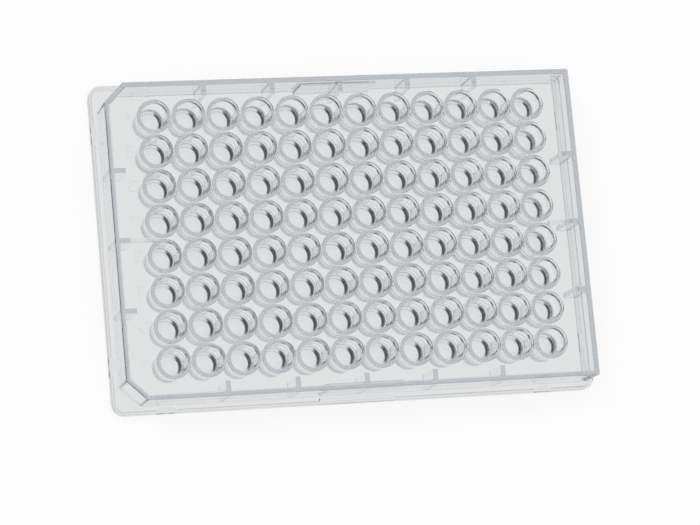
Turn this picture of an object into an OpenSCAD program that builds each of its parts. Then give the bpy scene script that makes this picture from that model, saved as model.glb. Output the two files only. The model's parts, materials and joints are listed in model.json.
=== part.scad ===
// Well plate: a clear moulded plate with a grid of wells that are round at the bottom.
// All sizes are in millimetres. The plate stands on its flange with the wells' mouths up.
// Z = 0 is the surface it stands on and the origin is under the middle of the plate.
// X runs from column 1 to the last column, and Y runs towards row A.

/* [Well grid] */
// Number of wells along X
columns = 12; // [4:1:24]
// Number of wells along Y
rows = 8; // [4:1:16]
// Distance between the centres of neighbouring wells
pitch = 9; // [8.8:0.1:18]
// Centre of the first column to the end of the flange
end_margin = 14.38; // [12:0.01:30]
// Centre of the first row to the side of the flange
side_margin = 11.24; // [9.3:0.01:30]

/* [Wells] */
// Radius of a well just under its mouth
well_r = 3.5; // [2.9:0.05:4.2]
// Draft of a well: how much narrower it is where its round bottom starts
well_draft = 0.2; // [0:0.05:0.5]
// Width of the bevel round a well's mouth
mouth_bevel = 0.25; // [0.1:0.01:0.4]
// Wall between a well and the outside of its tube, under the deck
tube_wall = 0.72; // [0.5:0.01:1.4]
// Draft on the outside of a tube, from the deck to where its well's round bottom starts
tube_draft = 0.3; // [0:0.05:0.4]
// Taper below that: how much narrower a tube is at its flat base
tube_taper = 0; // [0:0.05:0.8]
// Thickness of a tube's base, under the lowest point of its well
floor_t = 1.35; // [0.5:0.05:2]
// Space between a tube's base and the surface under the plate
foot_gap = 3.4; // [1.6:0.05:5]

/* [Rims] */
// Height of a rim above the deck
rim_h = 0.5; // [0.35:0.05:2]
// Width of a rim, from the well to the rim's outside
rim_w = 0.82; // [0.75:0.01:1.5]
// Width of the bevel on a rim's outer top edge
rim_bevel = 0.25; // [0.1:0.01:0.3]

/* [Body] */
// Height of the plate over its rims
plate_h = 14.35; // [11.5:0.05:45]
// Thickness of the deck between the wells
deck_t = 1.2; // [0.8:0.05:2.5]
// Thickness of the upright wall round the deck
wall_t = 1.15; // [0.7:0.05:2]
// Radius of the deck's outer top edge, and of the wall's upright corners
edge_round = 0.6; // [0.3:0.05:1]
// Length of the two cut corners at the column 1 end, along each side
cut_corner = 5.1; // [3:0.1:9]

/* [Flange] */
// Height of the flange that the plate stands on
flange_h = 2.5; // [2.2:0.05:4]
// Thickness of the flange's upright wall
flange_wall = 1; // [0.7:0.05:1.2]
// Thickness of the ledge between the flange and the wall above it
ledge_t = 1; // [0.7:0.05:1.5]
// Distance between the outsides of the flange and of the wall above it
ledge_w = 1.98; // [1.7:0.01:4]
// Radius of the flange's corners
flange_r = 3.18; // [1.6:0.01:4.7]

/* [Ribs] */
// Thickness of a rib
rib_t = 1.3; // [0.8:0.05:2]
// How far a rib stands in from the wall, on the long sides
side_rib = 2.8; // [1:0.1:3.5]
// How far a rib stands in from the wall, at the ends
end_rib = 3.1; // [1:0.1:3.5]
// How many wells lie between one rib and the next
rib_step = 2; // [1:1:4]
// Thickness of the low rib under the deck in the middle of each end
low_rib_t = 0.8; // [0.6:0.05:1]
// How far the low rib runs on past the end rib
low_rib_l = 5; // [2:0.1:5.2]
// Depth of the low rib under the deck
low_rib_h = 2; // [1:0.1:4]

/* [Pads] */
// Width of the ejector pads inside the flange
pad_w = 5; // [3:0.1:8]
// How far an ejector pad bulges in from the flange
pad_bulge = 0.75; // [0.3:0.05:0.8]
// Ejector pads on the long sides: distance from the middle of the side
side_pad_x = 50; // [20:0.5:52]
// Ejector pads at the ends: distance from the middle of the end
end_pad_y = 30; // [10:0.5:32]
// Length of the thicker grip zone in the middle of each long side
grip_l = 20; // [10:0.5:40]
// Extra thickness of the grip zone
grip_t = 0.75; // [0.3:0.05:0.8]
// Height of the grip zone
grip_h = 10.8; // [6:0.1:12]

/* [Hidden] */

round_sides = 64;
past = 1; // how far a cutter runs past the face it opens

plate_l = (columns - 1) * pitch + 2 * end_margin;
plate_w = (rows - 1) * pitch + 2 * side_margin;
deck_z = plate_h - rim_h;
deck_under = deck_z - deck_t;
ledge_under = flange_h - ledge_t;

wall_x = plate_l / 2 - ledge_w;
wall_y = plate_w / 2 - ledge_w;
hollow_x = wall_x - wall_t;
hollow_y = wall_y - wall_t;
skirt_x = plate_l / 2 - flange_wall;
skirt_y = plate_w / 2 - flange_wall;

// a well's round bottom is a half ball with its centre at ball_z
bottom_r = well_r - well_draft;
ball_z = foot_gap + floor_t + bottom_r;
rim_r = well_r + rim_w;
tube_r = well_r + tube_wall;
base_r = tube_r - tube_draft - tube_taper;

// a bulge of width w and height h is part of a circle of this radius
function bulge_r(w, h) = (w * w / 4 + h * h) / (2 * h);

// the wall's outline, moved in by d: two cut corners at the column 1 end, two square ones
function wall_outline(d) =
    let (x = wall_x - d, y = wall_y - d, cut = cut_corner - (2 - sqrt(2)) * d)
    [[-x, -y + cut], [-x + cut, -y], [x, -y], [x, y], [-x + cut, y], [-x, y - cut]];

plate();

module plate() {
    color("white", 0.35)
    difference() {
        union() {
            shell();
            each_well() tube();
            ribs();
            pads();
            grips();
        }
        each_well() well();
    }
}

// a copy of a child at each well of the grid
module each_well() {
    for (c = [0 : columns - 1], r = [0 : rows - 1])
        translate([(c - (columns - 1) / 2) * pitch, ((rows - 1) / 2 - r) * pitch, 0])
            children();
}

// deck, upright wall, ledge and flange
module shell() {
    difference() {
        union() {
            wall_block();
            linear_extrude(flange_h) round_rect(plate_l, plate_w, flange_r);
        }
        translate([0, 0, -past])
            linear_extrude(ledge_under + past)
            round_rect(2 * skirt_x, 2 * skirt_y, flange_r - flange_wall);
        translate([0, 0, -past])
            linear_extrude(deck_under + past)
            polygon(wall_outline(wall_t));
    }
}

// one tube under the deck with its rim above it, as a solid without its well
module tube() {
    rotate_extrude($fn = round_sides)
    polygon([
        [0, foot_gap], [base_r, foot_gap], [tube_r - tube_draft, ball_z],
        [tube_r, deck_under], [tube_r, deck_z - deck_t / 2], [rim_r, deck_z - deck_t / 2],
        [rim_r, plate_h - rim_bevel], [rim_r - rim_bevel, plate_h], [0, plate_h]
    ]);
}

// what a well takes out: its round bottom, its drafted wall and its bevelled mouth
module well() {
    mouth_z = plate_h - mouth_bevel;
    rotate_extrude($fn = round_sides)
    union() {
        polygon([
            [0, ball_z], [bottom_r, ball_z], [well_r, mouth_z],
            [well_r + mouth_bevel + past, plate_h + past], [0, plate_h + past]
        ]);
        intersection() {
            translate([0, ball_z]) circle(bottom_r, $fn = round_sides);
            translate([0, -past]) square([bottom_r, ball_z + past]);
        }
    }
}

// ribs inside the wall, between every few wells, and a low one in the middle of each end
module ribs() {
    rib_h = deck_z - deck_t / 2 - flange_h;
    side_last = floor((columns / 2 - 1) / rib_step);
    end_last = floor((rows / 2 - 1) / rib_step);
    for (side = [0, 1]) mirror([0, side, 0])
        for (i = [-side_last : side_last])
            translate([i * rib_step * pitch - rib_t / 2, hollow_y - side_rib, flange_h])
                cube([rib_t, side_rib + wall_t / 2, rib_h]);
    for (end = [0, 1]) mirror([end, 0, 0]) {
        for (i = [-end_last : end_last])
            translate([hollow_x - end_rib, i * rib_step * pitch - rib_t / 2, flange_h])
                cube([end_rib + wall_t / 2, rib_t, rib_h]);
        translate([hollow_x - end_rib - low_rib_l, -low_rib_t / 2, deck_under - low_rib_h])
            cube([low_rib_l + end_rib / 2, low_rib_t, low_rib_h + deck_t / 2]);
    }
}

// flat round bulges inside the flange, which the mould's pins push on
module pads() {
    r = bulge_r(pad_w, pad_bulge);
    intersection() {
        union() {
            for (sx = [-1, 1], sy = [-1, 1]) {
                translate([sx * side_pad_x, sy * (skirt_y - pad_bulge + r), 0])
                    cylinder(h = ledge_under + ledge_t / 2, r = r, $fn = round_sides);
                translate([sx * (skirt_x - pad_bulge + r), sy * end_pad_y, 0])
                    cylinder(h = ledge_under + ledge_t / 2, r = r, $fn = round_sides);
            }
        }
        linear_extrude(flange_h)
            round_rect(plate_l - flange_wall, plate_w - flange_wall, flange_r - flange_wall / 2);
    }
}

// thicker flange and wall in the middle of each long side, where the plate is gripped
module grips() {
    for (side = [0, 1]) mirror([0, side, 0]) {
        translate([-grip_l / 2, skirt_y - grip_t, 0])
            cube([grip_l, grip_t + flange_wall / 2, ledge_under + ledge_t / 2]);
        translate([-grip_l / 2, hollow_y - grip_t, ledge_under])
            cube([grip_l, grip_t + wall_t / 2, grip_h - ledge_under]);
    }
}

// a block on the wall's outline up to the deck, with its top and plain corners rounded
module wall_block() {
    outline = wall_outline(0);
    n = len(outline);
    difference() {
        linear_extrude(deck_z) polygon(outline);
        for (i = [0 : n - 1])
            translate([0, 0, deck_z]) along(outline[i], outline[(i + 1) % n])
                translate([-past, 0, 0]) rotate([90, 0, 90])
                linear_extrude(norm(outline[(i + 1) % n] - outline[i]) + 2 * past)
                edge_waste();
        for (side = [0, 1]) mirror([0, side, 0])
            translate([wall_x, wall_y, -past]) mirror([1, 0, 0])
            linear_extrude(deck_z + 2 * past) edge_waste();
    }
}

// what rounding takes off an edge at the origin, with the block to its right and below
module edge_waste() {
    difference() {
        translate([-past, -edge_round]) square(past + edge_round);
        translate([edge_round, -edge_round]) circle(edge_round, $fn = round_sides);
    }
}

// children with their X axis laid from point a to point b
module along(a, b) {
    translate(a) rotate(atan2(b[1] - a[1], b[0] - a[0])) children();
}

// a rectangle w by l round the origin, with corners of radius r
module round_rect(w, l, r) {
    square([w - 2 * r, l], center = true);
    square([w, l - 2 * r], center = true);
    for (sx = [-1, 1], sy = [-1, 1])
        translate([sx * (w / 2 - r), sy * (l / 2 - r)]) circle(r, $fn = round_sides);
}
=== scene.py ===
import json
import math

import bmesh
import bpy
import numpy as np
from mathutils import Matrix, Vector

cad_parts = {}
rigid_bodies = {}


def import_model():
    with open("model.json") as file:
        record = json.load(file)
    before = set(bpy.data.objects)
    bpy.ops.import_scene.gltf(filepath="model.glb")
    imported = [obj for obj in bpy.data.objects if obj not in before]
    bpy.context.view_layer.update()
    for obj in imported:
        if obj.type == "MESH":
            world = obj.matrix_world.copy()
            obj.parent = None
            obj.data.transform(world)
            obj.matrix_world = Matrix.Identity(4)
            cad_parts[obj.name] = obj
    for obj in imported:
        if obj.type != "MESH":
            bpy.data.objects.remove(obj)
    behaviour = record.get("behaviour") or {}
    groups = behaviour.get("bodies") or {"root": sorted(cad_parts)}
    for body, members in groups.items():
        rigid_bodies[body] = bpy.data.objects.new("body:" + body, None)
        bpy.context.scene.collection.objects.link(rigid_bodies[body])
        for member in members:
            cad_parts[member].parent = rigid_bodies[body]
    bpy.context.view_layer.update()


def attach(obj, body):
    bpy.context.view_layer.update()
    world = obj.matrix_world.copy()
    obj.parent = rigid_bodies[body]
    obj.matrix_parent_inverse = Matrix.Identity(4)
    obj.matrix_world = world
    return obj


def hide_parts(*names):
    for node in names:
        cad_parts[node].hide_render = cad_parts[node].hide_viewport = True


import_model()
mm = 0.001
weldSteps = 2e4   # points in the same step of a 20000th of a millimetre are one point
edgeStep = 0.1    # a row of points this far beside a round keeps the flat next to it flat

# Sizes are in millimetres, with Z up from the surface under the plate.
# X runs from column 1 to column 12 and Y runs towards row A.

cameraView = {
    # high above the plate, and a little towards column 1 and row H
    "spot": (-200.416, -148.229, 770.183),
    "aim": (-2.047, -8.477, 14.3),
    "up": (0.04479, 0.98018, 0.19298),
    "lens": 160.387,  # on a sensor 36 mm wide
}


def addCamera(view):
    # the camera looks from its spot to its aim, and its up direction settles the turn
    back = (Vector(view["spot"]) - Vector(view["aim"])).normalized()
    right = Vector(view["up"]).cross(back).normalized()
    turn = Matrix((right, back.cross(right), back)).transposed().to_4x4()
    data = bpy.data.cameras.new("camera")
    data.sensor_width = 36
    data.lens = view["lens"]
    data.clip_start = 0.01
    item = bpy.data.objects.new("camera", data)
    item.matrix_world = Matrix.Translation(Vector(view["spot"]) * mm) @ turn
    bpy.context.scene.collection.objects.link(item)
    bpy.context.scene.camera = item


addCamera(cameraView)
print("camera placed")


def bandFaces(rows, columns, start):
    # four-sided faces between neighbouring rows of points, closed round the columns
    row = np.arange(rows - 1)[:, None] * columns
    column = np.arange(columns)[None, :]
    following = (column + 1) % columns
    faces = [row + column, row + following, row + columns + following, row + columns + column]
    return start + np.stack(faces, -1).reshape(-1, 4)


def weldedMesh(name, points, quads, extraFaces=()):
    # points that lie in one place become one, and a four-sided face that loses a corner
    # becomes a triangle
    place = np.round(points * weldSteps).astype(np.int64)
    first, back = np.unique(place, axis=0, return_index=True, return_inverse=True)[1:]
    quads = back.reshape(-1)[quads]
    repeated = quads == np.roll(quads, -1, axis=1)
    lost = repeated.sum(1)
    triangles = quads[lost == 1]
    keep = ~repeated[lost == 1]
    triangles = triangles[keep].reshape(-1, 3)
    faces = quads[lost == 0].tolist() + triangles.tolist()
    faces += [back.reshape(-1)[list(face)].tolist() for face in extraFaces]
    mesh = bpy.data.meshes.new(name)
    mesh.from_pydata((points[first] * mm).tolist(), [], faces)
    mesh.update()
    item = bpy.data.objects.new(name, mesh)
    bpy.context.scene.collection.objects.link(item)
    return item


def prisms(name, solids):
    # each solid is an outline, anticlockwise seen from above, carried from one height to another
    points, sides, caps, start = [], [], [], 0
    for outline, low, high in solids:
        flat = np.array(outline, float)
        count = len(flat)
        for height in (high, low):
            points.append(np.c_[flat, np.full(count, height)])
        sides.append(bandFaces(2, count, start)[:, ::-1])
        caps.append(range(start, start + count))
        caps.append(range(start + 2 * count - 1, start + count - 1, -1))
        start += 2 * count
    return weldedMesh(name, np.vstack(points), np.vstack(sides), caps)


def block(x0, x1, y0, y1):
    return [(x0, y0), (x1, y0), (x1, y1), (x0, y1)]


def arc(centreR, centreZ, radius, fromDeg, toDeg, count):
    # points on a circle in the profile plane, angles from +R towards +Z
    angle = np.radians(np.linspace(fromDeg, toDeg, count))
    return np.c_[centreR + radius * np.cos(angle), centreZ + radius * np.sin(angle)]


wellSizes = {
    "columns": 12,
    "rows": 8,
    "pitch": 9.0,
    "sides": 28,            # faces round one well, a multiple of 4
    "roundRows": 3,         # rows of points down each small round
    "rimTop": 14.35,
    "deckTop": 13.85,
    "deckUnder": 12.65,
    "rimRadius": 4.32,
    "rimRound": 0.25,
    "rimFoot": 0.06,        # bevel where a rim meets the deck
    "mouthRadius": 3.5,
    "mouthRound": 0.25,
    "bottomRadius": 3.3,
    "bottomCentre": 8.05,
    "bottomRows": 11,       # rings of faces down a well's round bottom
    "tubeTop": 4.22,
    "tubeMiddle": 3.92,
    "tubeBase": 3.91,
    "baseHeight": 3.4,
    "baseRound": 0.2,
    # rings left by the mould on the tubes, where four tubes face each other
    "ringHeights": (10.9, 10.0, 8.4, 7.5, 6.3),
    "ringDepth": 0.06,
}


def wellProfile(s):
    # radius and height, from the deck over the rim and down the well to its lowest point
    mouthTop = s["mouthRadius"] + s["mouthRound"]
    mouthEnd = s["rimTop"] - s["mouthRound"]
    heights = np.array([mouthEnd - edgeStep, s["bottomCentre"] + edgeStep])
    wall = np.interp(heights, [s["bottomCentre"], mouthEnd], [s["bottomRadius"], s["mouthRadius"]])
    foot = s["rimFoot"]
    return np.vstack([
        [[s["rimRadius"] + foot, s["deckTop"]], [s["rimRadius"], s["deckTop"] + foot]],
        arc(s["rimRadius"] - s["rimRound"], s["rimTop"] - s["rimRound"], s["rimRound"],
            0, 90, s["roundRows"]),
        arc(mouthTop, mouthEnd, s["mouthRound"], 90, 180, s["roundRows"]),
        np.c_[wall, heights],
        arc(0, s["bottomCentre"], s["bottomRadius"], 0, -90, s["bottomRows"]),
    ])


def tubeProfile(s):
    # radius, height and how far a mould ring moves the wall, down the tube to its base
    heights = np.array(s["ringHeights"])
    radii = np.interp(-heights, [-s["deckUnder"], -s["bottomCentre"], -s["baseHeight"]],
                      [s["tubeTop"], s["tubeMiddle"], s["tubeBase"]])
    shift = s["ringDepth"] * np.where(np.arange(len(heights)) % 2, 1.0, -1.0)
    edge = arc(s["tubeBase"] - s["baseRound"], s["baseHeight"] + s["baseRound"],
               s["baseRound"], 0, -90, s["roundRows"])
    top = [[s["tubeTop"] + edgeStep, s["deckUnder"]], [s["tubeTop"], s["deckUnder"] - edgeStep]]
    profile = np.vstack([
        top, np.c_[radii, heights],
        [[s["tubeBase"], s["baseHeight"] + s["baseRound"] + edgeStep]], edge,
        [[s["tubeBase"] - s["baseRound"] - edgeStep, s["baseHeight"]], [0.0, s["baseHeight"]]],
    ])
    push = np.zeros(len(profile))
    push[len(top):len(top) + len(heights)] = shift
    return profile, push


def wellCells(s):
    # a cell is one well's square of deck. A point is at centre + radius(t) * (cos a, sin a),
    # and the outermost radius is the square's own, 1 / max(|cos a|, |sin a|)
    count = s["sides"]
    angle = np.pi / 4 + 2 * np.pi * np.arange(count) / count
    cosA, sinA = np.cos(angle), np.sin(angle)
    half = s["pitch"] / 2
    square = half / np.maximum(abs(cosA), abs(sinA))
    column, row = [v.ravel() for v in np.meshgrid(np.arange(s["columns"]), np.arange(s["rows"]))]
    centreX = (column - (s["columns"] - 1) / 2) * s["pitch"]
    centreY = ((s["rows"] - 1) / 2 - row) * s["pitch"]
    # rings only where the quarter of the tube faces three other tubes
    inX = np.where(cosA[None] > 0, (column < s["columns"] - 1)[:, None], (column > 0)[:, None])
    inY = np.where(sinA[None] > 0, (row > 0)[:, None], (row < s["rows"] - 1)[:, None])
    ringed = (inX & inY).astype(float)

    points, faces, start = [], [], 0
    tube, push = tubeProfile(s)
    for profile, move, edgeZ, top in ((wellProfile(s), None, s["deckTop"], True),
                                      (tube, push, s["deckUnder"], False)):
        radius = np.repeat(profile[None, :, :1], len(column), 0) * np.ones(count)
        if move is not None:
            radius = radius + move[None, :, None] * ringed[:, None, :]
        radius = np.concatenate([np.broadcast_to(square, (len(column), 1, count)), radius], 1)
        height = np.r_[edgeZ, profile[:, 1]][None, :, None] * np.ones_like(radius)
        x = centreX[:, None, None] + radius * cosA
        y = centreY[:, None, None] + radius * sinA
        points.append(np.stack([x, y, height], -1).reshape(-1, 3))
        rows = radius.shape[1]
        band = bandFaces(rows, count, 0)
        if not top:
            band = band[:, ::-1]
        offsets = start + np.arange(len(column))[:, None, None] * rows * count
        faces.append((band[None] + offsets).reshape(-1, 4))
        start += len(column) * rows * count
    return np.vstack(points), np.vstack(faces)


bodySizes = {
    "flangeHalf": (63.88, 42.74),
    "wallHalf": (61.9, 40.76),
    "flangeHeight": 2.5,
    "flangeWall": 1.0,
    "flangeCorner": 3.18,
    "flangeRound": 0.35,
    "footRound": 0.2,
    "footBevel": 0.15,      # on the foot's inner edge
    "fillet": 0.3,          # where the wall meets the ledge and the deck
    "ledgeUnder": 1.5,
    "wall": 1.15,
    "cutCorner": 5.1,
    "plainCorner": 0.6,
    "leastCorner": 0.05,    # what is left of a plain corner further in
    "topRound": 0.6,
    "cornerPoints": 5,
}


def gridSide(s, count):
    # where the cells' points fall along one side of the grid of wells, from -1 to 1
    step = np.tan(np.radians(np.linspace(-45, 45, s["sides"] // 4 + 1)))
    along = (np.arange(count)[:, None] * 2 + 1 + step[None, :-1]).ravel()
    return np.r_[along, 2 * count] / count - 1


def outlineLoop(halfX, halfY, height, cut, rounding, alongX, alongY, extra):
    # anticlockwise from the right side's lower end; the corners at -X are cut straight when
    # cut is more than 0, and otherwise round
    turn = np.linspace(0, 1, extra + 2)[1:-1]

    def corner(signX, signY):
        if signX < 0 and cut > 0:
            return np.c_[halfX - cut * turn, halfY - cut * (1 - turn)] * (signX, signY)
        angle = turn * np.pi / 2
        return np.c_[halfX - rounding + rounding * np.cos(angle),
                     halfY - rounding + rounding * np.sin(angle)] * (signX, signY)

    left = cut if cut > 0 else rounding
    topX = np.interp(alongX, [-1, 1], [-halfX + left, halfX - rounding])
    rightY, leftY = alongY * (halfY - rounding), alongY * (halfY - left)
    parts = [
        np.c_[np.full(len(rightY), halfX), rightY], corner(1, 1),
        np.c_[topX[::-1], np.full(len(topX), halfY)], corner(-1, 1)[::-1],
        np.c_[np.full(len(leftY), -halfX), leftY[::-1]], corner(-1, -1),
        np.c_[topX, np.full(len(topX), -halfY)], corner(1, -1)[::-1],
    ]
    flat = np.vstack(parts)
    return np.c_[flat, np.full(len(flat), height)]


def bodyShell(w, b):
    # a profile carried round the plate: from the grid of wells over the deck's edge, down the
    # wall, over the flange, under its foot, and up inside to the deck's underside
    alongX, alongY = gridSide(w, w["columns"]), gridSide(w, w["rows"])
    gridX, gridY = w["columns"] * w["pitch"] / 2, w["rows"] * w["pitch"] / 2

    def wall(inset, height):
        cut = b["cutCorner"] - (2 - math.sqrt(2)) * inset
        corner = max(b["plainCorner"] - inset, b["leastCorner"])
        return outlineLoop(b["wallHalf"][0] - inset, b["wallHalf"][1] - inset, height,
                           cut, corner, alongX, alongY, b["cornerPoints"])

    def flange(inset, height):
        return outlineLoop(b["flangeHalf"][0] - inset, b["flangeHalf"][1] - inset, height,
                           0, b["flangeCorner"] - inset, alongX, alongY, b["cornerPoints"])

    def grid(height):
        return outlineLoop(gridX, gridY, height, 0, 0, alongX, alongY, b["cornerPoints"])

    top, rim, foot, fillet = b["topRound"], b["flangeRound"], b["footRound"], b["fillet"]
    rows = [grid(w["deckTop"]), wall(top + edgeStep, w["deckTop"])]
    rows += [wall(top * (1 - math.sin(a)), w["deckTop"] - top * (1 - math.cos(a)))
             for a in np.radians([0, 22.5, 45, 67.5, 90])]
    rows += [wall(0, w["deckTop"] - top - edgeStep), wall(0, b["flangeHeight"] + fillet),
             wall(-edgeStep, b["flangeHeight"] + edgeStep), wall(-fillet, b["flangeHeight"])]
    rows += [flange(rim * (1 - math.sin(a)), b["flangeHeight"] - rim * (1 - math.cos(a)))
             for a in np.radians([0, 30, 60, 90])]
    middle = foot * 0.3   # where a round of this radius is halfway
    rows += [flange(0, foot), flange(middle, middle), flange(foot, 0)]
    rows += [flange(b["flangeWall"] - b["footBevel"], 0), flange(b["flangeWall"], b["footBevel"]),
             flange(b["flangeWall"], b["ledgeUnder"])]
    rows += [wall(b["wall"] - edgeStep, b["ledgeUnder"]),
             wall(b["wall"], b["ledgeUnder"] + edgeStep)]
    rows += [wall(b["wall"], w["deckUnder"] - fillet),
             wall(b["wall"] + edgeStep, w["deckUnder"] - edgeStep),
             wall(b["wall"] + fillet, w["deckUnder"])]
    rows += [grid(w["deckUnder"])]
    return np.vstack(rows), bandFaces(len(rows), len(rows[0]), 0)[:, ::-1]


ribSizes = {
    "thickness": 1.3,
    "sideX": (-36, -18, 0, 18, 36),
    "endY": (-18, 0, 18),
    "sideReach": 2.8,
    "endReach": 3.1,
    "lowRibThickness": 0.8,
    "lowRibReach": 5.0,
    "lowRibDepth": 2.0,
    "padWidth": 5.0,
    "padBulge": 0.75,
    "padSideX": 50.0,
    "padEndY": 30.0,
    "gripLength": 20.0,
    "gripThickness": 0.75,
    "gripHeight": 10.8,
    # how far each reaches into the body, and starts above a face: no two lie in one plane
    "lowRibSink": 0.45,
    "gripSink": 0.4,
    "gripStart": 0.06,
    "wallGripSink": 0.5,
    "wallGripStart": 0.05,
    "padSink": 0.4,
    "padTopSink": 0.42,
    "padStart": 0.07,
    "padTurn": 3.0,         # degrees that a pad's bow runs on into the flange
    "padPoints": 13,
}


def ribSolids(w, b, r):
    # blocks from the middle of the wall inwards, and from the flange up to mid deck
    innerX, innerY = b["wallHalf"][0] - b["wall"], b["wallHalf"][1] - b["wall"]
    deckMiddle = (w["deckTop"] + w["deckUnder"]) / 2
    half = r["thickness"] / 2
    solids = []
    for side in (-1, 1):
        for x in r["sideX"]:
            y0, y1 = sorted((side * (innerY - r["sideReach"]), side * (innerY + b["wall"] / 2)))
            solids.append((block(x - half, x + half, y0, y1), b["flangeHeight"], deckMiddle))
        for y in r["endY"]:
            x0, x1 = sorted((side * (innerX - r["endReach"]), side * (innerX + b["wall"] / 2)))
            solids.append((block(x0, x1, y - half, y + half), b["flangeHeight"], deckMiddle))
    return solids


def lowRibSolids(w, b, r):
    # a thin block under the deck at each end, from the middle of its end rib inwards
    innerX = b["wallHalf"][0] - b["wall"]
    half = r["lowRibThickness"] / 2
    reach = r["endReach"] + r["lowRibReach"]
    solids = []
    for side in (-1, 1):
        x0, x1 = sorted((side * (innerX - reach), side * (innerX - r["endReach"] / 2)))
        solids.append((block(x0, x1, -half, half), w["deckUnder"] - r["lowRibDepth"],
                       w["deckUnder"] + r["lowRibSink"]))
    return solids


def gripSolids(b, r):
    # a block on the inside of the flange, in the middle of each long side
    footY = b["flangeHalf"][1] - b["flangeWall"]
    half = r["gripLength"] / 2
    solids = []
    for side in (-1, 1):
        y0, y1 = sorted((side * (footY - r["gripThickness"]), side * (footY + r["gripSink"])))
        solids.append((block(-half, half, y0, y1), r["gripStart"],
                       b["ledgeUnder"] + r["gripSink"]))
    return solids


def wallGripSolids(b, r):
    # and one above it, on the inside of the wall
    innerY = b["wallHalf"][1] - b["wall"]
    half = r["gripLength"] / 2
    solids = []
    for side in (-1, 1):
        y0, y1 = sorted((side * (innerY - r["gripThickness"]),
                         side * (innerY + r["wallGripSink"])))
        solids.append((block(-half, half, y0, y1), b["ledgeUnder"] + r["wallGripStart"],
                       r["gripHeight"]))
    return solids


def padSolids(b, r):
    # a bulge is a slice of a circle of radius (w * w / 4 + h * h) / (2 * h)
    radius = (r["padWidth"] ** 2 / 4 + r["padBulge"] ** 2) / (2 * r["padBulge"])
    swing = math.degrees(math.asin(r["padWidth"] / 2 / radius)) + r["padTurn"]
    bow = arc(0, radius - r["padBulge"], radius, -90 - swing, -90 + swing, r["padPoints"])
    bow = np.vstack([bow, [[bow[-1][0], r["padSink"]], [bow[0][0], r["padSink"]]]])
    low, high = r["padStart"], b["ledgeUnder"] + r["padTopSink"]
    solids = []
    for side in (-1, 1):
        for x in (-r["padSideX"], r["padSideX"]):
            flat = bow * (1, side) + (x, side * (b["flangeHalf"][1] - b["flangeWall"]))
            solids.append((flat[::side], low, high))
        for y in (-r["padEndY"], r["padEndY"]):
            flat = bow[:, ::-1] * (side, 1) + (side * (b["flangeHalf"][0] - b["flangeWall"]), y)
            solids.append((flat[::-side], low, high))
    return solids


letterSizes = {
    "letters": "ABCDEFGH",
    "height": 3.1,
    "capitalShare": 0.7,    # a capital's height as a share of the text's size
    "x": -56.3,
    "raised": 0.18,
}


def rowLetters(w, s):
    # the letters are flat text, given a thickness and joined as one piece
    joined = bmesh.new()
    for i, letter in enumerate(s["letters"]):
        text = bpy.data.curves.new("letter", "FONT")
        text.body = letter
        text.align_x = "CENTER"
        text.align_y = "CENTER"
        text.size = s["height"] / s["capitalShare"]
        text.resolution_u = 3
        text.extrude = s["raised"]
        item = bpy.data.objects.new("letter", text)
        bpy.context.scene.collection.objects.link(item)
        bpy.context.view_layer.update()
        flat = bpy.data.meshes.new_from_object(item)
        y = ((w["rows"] - 1) / 2 - i) * w["pitch"]
        place = Matrix.Translation((s["x"], y, w["deckTop"]))
        flat.transform(Matrix.Diagonal((mm, mm, mm, 1)) @ place)
        joined.from_mesh(flat)
        bpy.data.objects.remove(item)
        bpy.data.curves.remove(text)
        bpy.data.meshes.remove(flat)
    bmesh.ops.remove_doubles(joined, verts=joined.verts, dist=1e-7)
    bmesh.ops.recalc_face_normals(joined, faces=joined.faces)
    mesh = bpy.data.meshes.new("letters")
    joined.to_mesh(mesh)
    joined.free()
    item = bpy.data.objects.new("letters", mesh)
    bpy.context.scene.collection.objects.link(item)
    return item


def joinSolids(body, others):
    # one union after another, so that the plate stays one closed surface
    for other in others:
        step = body.modifiers.new("join", "BOOLEAN")
        step.operation = "UNION"
        step.solver = "MANIFOLD"
        step.object = other
    shown = body.evaluated_get(bpy.context.evaluated_depsgraph_get())
    mesh = bpy.data.meshes.new_from_object(shown)
    body.modifiers.clear()
    body.data = mesh
    for other in others:
        bpy.data.objects.remove(other)


shading = {
    "sharpAngle": 24.0,     # degrees between two faces
    "ringReach": 0.002,     # how near a ring's height an edge of the mould's rings lies
}


def smoothPlate(mesh, w, s):
    # round walls are smooth, and wide angles and the edges of the mould's rings are sharp
    mesh.polygons.foreach_set("use_smooth", np.ones(len(mesh.polygons), bool))
    mesh.set_sharp_from_angle(angle=math.radians(s["sharpAngle"]))
    points = np.empty(len(mesh.vertices) * 3)
    mesh.vertices.foreach_get("co", points)
    height = points.reshape(-1, 3)[:, 2] / mm
    ends = np.empty(len(mesh.edges) * 2, int)
    mesh.edges.foreach_get("vertices", ends)
    low, high = height[ends.reshape(-1, 2)].T
    level = abs(low - high) < s["ringReach"]
    onRing = np.min(abs(low[:, None] - np.array(w["ringHeights"])), axis=1) < s["ringReach"]
    sharp = mesh.attributes.get("sharp_edge")
    if sharp is None:
        sharp = mesh.attributes.new("sharp_edge", "BOOLEAN", "EDGE")
    marks = np.empty(len(mesh.edges), bool)
    sharp.data.foreach_get("value", marks)
    sharp.data.foreach_set("value", marks | (level & onRing))


cells, cellFaces = wellCells(wellSizes)
shell, shellFaces = bodyShell(wellSizes, bodySizes)
plate = weldedMesh("clear_plate", np.vstack([cells, shell]),
                   np.vstack([cellFaces, shellFaces + len(cells)]))
print("wells and body:", len(plate.data.polygons), "faces")

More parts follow.
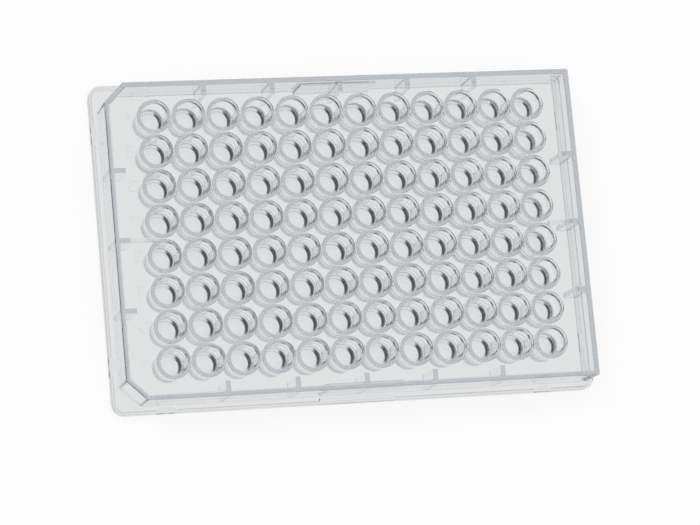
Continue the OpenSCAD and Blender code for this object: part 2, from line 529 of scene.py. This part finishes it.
joinSolids(plate, [
    prisms("ribs", ribSolids(wellSizes, bodySizes, ribSizes)),
    prisms("low_ribs", lowRibSolids(wellSizes, bodySizes, ribSizes)),
    prisms("grips", gripSolids(bodySizes, ribSizes)),
    prisms("wall_grips", wallGripSolids(bodySizes, ribSizes)),
    prisms("pads", padSolids(bodySizes, ribSizes)),
    rowLetters(wellSizes, letterSizes),
])
smoothPlate(plate.data, wellSizes, shading)
print("ribs, pads, grips and row letters joined:",
      sum(len(p.vertices) - 2 for p in plate.data.polygons), "triangles")


plasticLook = {
    "tint": (0.995, 0.998, 1.0),
    "refraction": 1.585,
    "roughness": (0.01, 0.03),     # from the polished patches to the hazy ones
    "hazeSize": 14.0,              # how far apart the hazy patches are
    "hazeRange": (0.35, 0.65),     # the part of the noise that goes from polished to hazy
    "rippleSize": 5.0,             # the low ripple of a moulded surface
    "rippleDepth": 0.003,
    "depthTint": (0.1, 0.2, 0.3),  # colour that light takes on over a long way inside
    "depthTintPerMetre": 40.0,
}


def node(tree, kind, **inputs):
    # a node with its inputs set by name, where an underscore stands for a space
    made = tree.nodes.new(kind)
    for name, value in inputs.items():
        made.inputs[name.replace("_", " ")].default_value = value
    return made


def clearPlastic(s):
    material = bpy.data.materials.new("clear_polystyrene")
    material.use_nodes = True
    tree = material.node_tree
    tree.nodes.clear()
    link = tree.links.new
    output = tree.nodes.new("ShaderNodeOutputMaterial")
    shader = node(tree, "ShaderNodeBsdfPrincipled", Base_Color=(*s["tint"], 1),
                  IOR=s["refraction"], Transmission_Weight=1.0)
    link(shader.outputs["BSDF"], output.inputs["Surface"])

    # light that is caught between the walls fades on its way
    inside = node(tree, "ShaderNodeVolumeAbsorption", Color=(*s["depthTint"], 1),
                  Density=s["depthTintPerMetre"])
    link(inside.outputs["Volume"], output.inputs["Volume"])

    # a moulded surface is polished in some places and faintly hazy in others
    place = tree.nodes.new("ShaderNodeTexCoord").outputs["Object"]
    haze = node(tree, "ShaderNodeTexNoise", Scale=1 / (s["hazeSize"] * mm), Detail=3.0)
    link(place, haze.inputs["Vector"])
    patches = node(tree, "ShaderNodeMapRange",
                   From_Min=s["hazeRange"][0], From_Max=s["hazeRange"][1],
                   To_Min=s["roughness"][0], To_Max=s["roughness"][1])
    link(haze.outputs["Fac"], patches.inputs["Value"])
    link(patches.outputs["Result"], shader.inputs["Roughness"])

    # and it isn't quite flat
    ripple = node(tree, "ShaderNodeTexNoise", Scale=1 / (s["rippleSize"] * mm), Detail=1.0)
    bump = node(tree, "ShaderNodeBump", Strength=1.0, Distance=s["rippleDepth"] * mm)
    link(place, ripple.inputs["Vector"])
    link(ripple.outputs["Fac"], bump.inputs["Height"])
    link(bump.outputs["Normal"], shader.inputs["Normal"])
    return material


plate.data.materials.clear()
plate.data.materials.append(clearPlastic(plasticLook))
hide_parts("plate")
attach(plate, "root")
print("clear plastic given to the plate")


studio = {
    "floorHalf": 3.0,
    "floorColour": 0.18,    # what keeps the plate's shadow
    "floorGlow": 0.85,      # the white that the camera sees
    "worldAbove": 0.85,
    "worldBelow": 1.0,      # what the plastic shows of the pale surroundings under it
    "horizonBlend": 0.1,
    # a dark part of the room, low on the column 1 side: where it starts and is full, as the
    # cosine of the angle to its side, and its height and spread, as the sine of the slope
    "darkSide": (-1.0, -0.05, 0.0),
    "darkStart": 0.3,
    "darkFull": 0.75,
    "darkHeight": -0.42,
    "darkSpread": (0.24, 0.42),
    "darkLevel": 0.03,
    "lampSpot": (-0.9, 0.7, 1.3),
    "lampSize": 0.6,
    "lampPower": 5.0,
    "bounces": 24,          # light passes many walls of clear plastic
    "clearBounces": 16,
}


def mathNode(tree, operation, first, second=0.0):
    # each side is a number or another node's output
    made = tree.nodes.new("ShaderNodeMath")
    made.operation = operation
    for socket, value in zip(made.inputs, (first, second)):
        if isinstance(value, float):
            socket.default_value = value
        else:
            tree.links.new(value, socket)
    return made.outputs[0]


def smoothRange(tree, value, start, end, low, high):
    # from low to high in a soft S, as the value goes from start to end
    made = node(tree, "ShaderNodeMapRange", From_Min=start, From_Max=end, To_Min=low, To_Max=high)
    made.interpolation_type = "SMOOTHSTEP"
    tree.links.new(value, made.inputs["Value"])
    return made.outputs["Result"]


def alongDirection(tree, direction, towards):
    # the cosine of the angle between a direction and a side of the room
    made = tree.nodes.new("ShaderNodeVectorMath")
    made.operation = "DOT_PRODUCT"
    tree.links.new(direction, made.inputs[0])
    made.inputs[1].default_value = Vector(towards).normalized()
    return made.outputs["Value"]


def addFloor(s):
    # the camera sees a white floor that keeps the plate's shadow, and the plastic shows the
    # pale surroundings in its place
    half = s["floorHalf"]
    floor = weldedMesh("floor", np.array([(-half, -half, 0), (half, -half, 0),
                                          (half, half, 0), (-half, half, 0)]) / mm,
                       np.array([[0, 1, 2, 3]]))
    material = bpy.data.materials.new("floor")
    material.use_nodes = True
    tree = material.node_tree
    tree.nodes.clear()
    link = tree.links.new
    output = tree.nodes.new("ShaderNodeOutputMaterial")
    surface = node(tree, "ShaderNodeBsdfDiffuse", Color=(s["floorColour"],) * 3 + (1,))
    glow = tree.nodes.new("ShaderNodeEmission")
    both = tree.nodes.new("ShaderNodeAddShader")
    clear = tree.nodes.new("ShaderNodeBsdfTransparent")
    choice = tree.nodes.new("ShaderNodeMixShader")
    path = tree.nodes.new("ShaderNodeLightPath")
    link(mathNode(tree, "MULTIPLY", path.outputs["Is Camera Ray"], s["floorGlow"]),
         glow.inputs["Strength"])
    link(surface.outputs[0], both.inputs[0])
    link(glow.outputs[0], both.inputs[1])
    link(mathNode(tree, "MAXIMUM", path.outputs["Is Transmission Ray"],
                  path.outputs["Is Glossy Ray"]), choice.inputs[0])
    link(both.outputs[0], choice.inputs[1])
    link(clear.outputs[0], choice.inputs[2])
    link(choice.outputs[0], output.inputs["Surface"])
    floor.data.materials.append(material)


def addWorld(s):
    # a white room with a dark part low on one side
    world = bpy.data.worlds.new("room")
    bpy.context.scene.world = world
    world.use_nodes = True
    tree = world.node_tree
    tree.nodes.clear()
    link = tree.links.new
    output = tree.nodes.new("ShaderNodeOutputWorld")
    light = tree.nodes.new("ShaderNodeBackground")
    place = tree.nodes.new("ShaderNodeTexCoord").outputs["Generated"]
    slope = alongDirection(tree, place, (0, 0, 1))
    level = smoothRange(tree, slope, -s["horizonBlend"], s["horizonBlend"],
                        s["worldBelow"], s["worldAbove"])
    off = mathNode(tree, "ABSOLUTE", mathNode(tree, "SUBTRACT", slope, s["darkHeight"]))
    near = smoothRange(tree, off, *s["darkSpread"], 1.0, 0.0)
    shade = smoothRange(tree, alongDirection(tree, place, s["darkSide"]),
                        s["darkStart"], s["darkFull"], 0.0, 1.0)
    dark = smoothRange(tree, mathNode(tree, "MULTIPLY", near, shade), 0.0, 1.0,
                       1.0, s["darkLevel"])
    link(mathNode(tree, "MULTIPLY", level, dark), light.inputs["Strength"])
    link(light.outputs["Background"], output.inputs["Surface"])


def addLamp(s):
    # a square lamp that points at the middle of the plate
    data = bpy.data.lights.new("soft_lamp", "AREA")
    data.shape = "SQUARE"
    data.size = s["lampSize"]
    data.energy = s["lampPower"]
    lamp = bpy.data.objects.new("soft_lamp", data)
    spot = Vector(s["lampSpot"])
    lamp.location = spot
    lamp.rotation_euler = (-spot).to_track_quat("-Z", "Y").to_euler()
    # it is there for the floor's soft shadow, and the plastic doesn't show it
    lamp.visible_glossy = False
    lamp.visible_transmission = False
    bpy.context.scene.collection.objects.link(lamp)


addFloor(studio)
addWorld(studio)
addLamp(studio)
scene = bpy.context.scene
scene.view_settings.view_transform = "Standard"
scene.cycles.max_bounces = studio["bounces"]
scene.cycles.transmission_bounces = studio["bounces"]
scene.cycles.glossy_bounces = studio["bounces"]
scene.cycles.transparent_max_bounces = studio["clearBounces"]
print("floor, world and lamp placed")
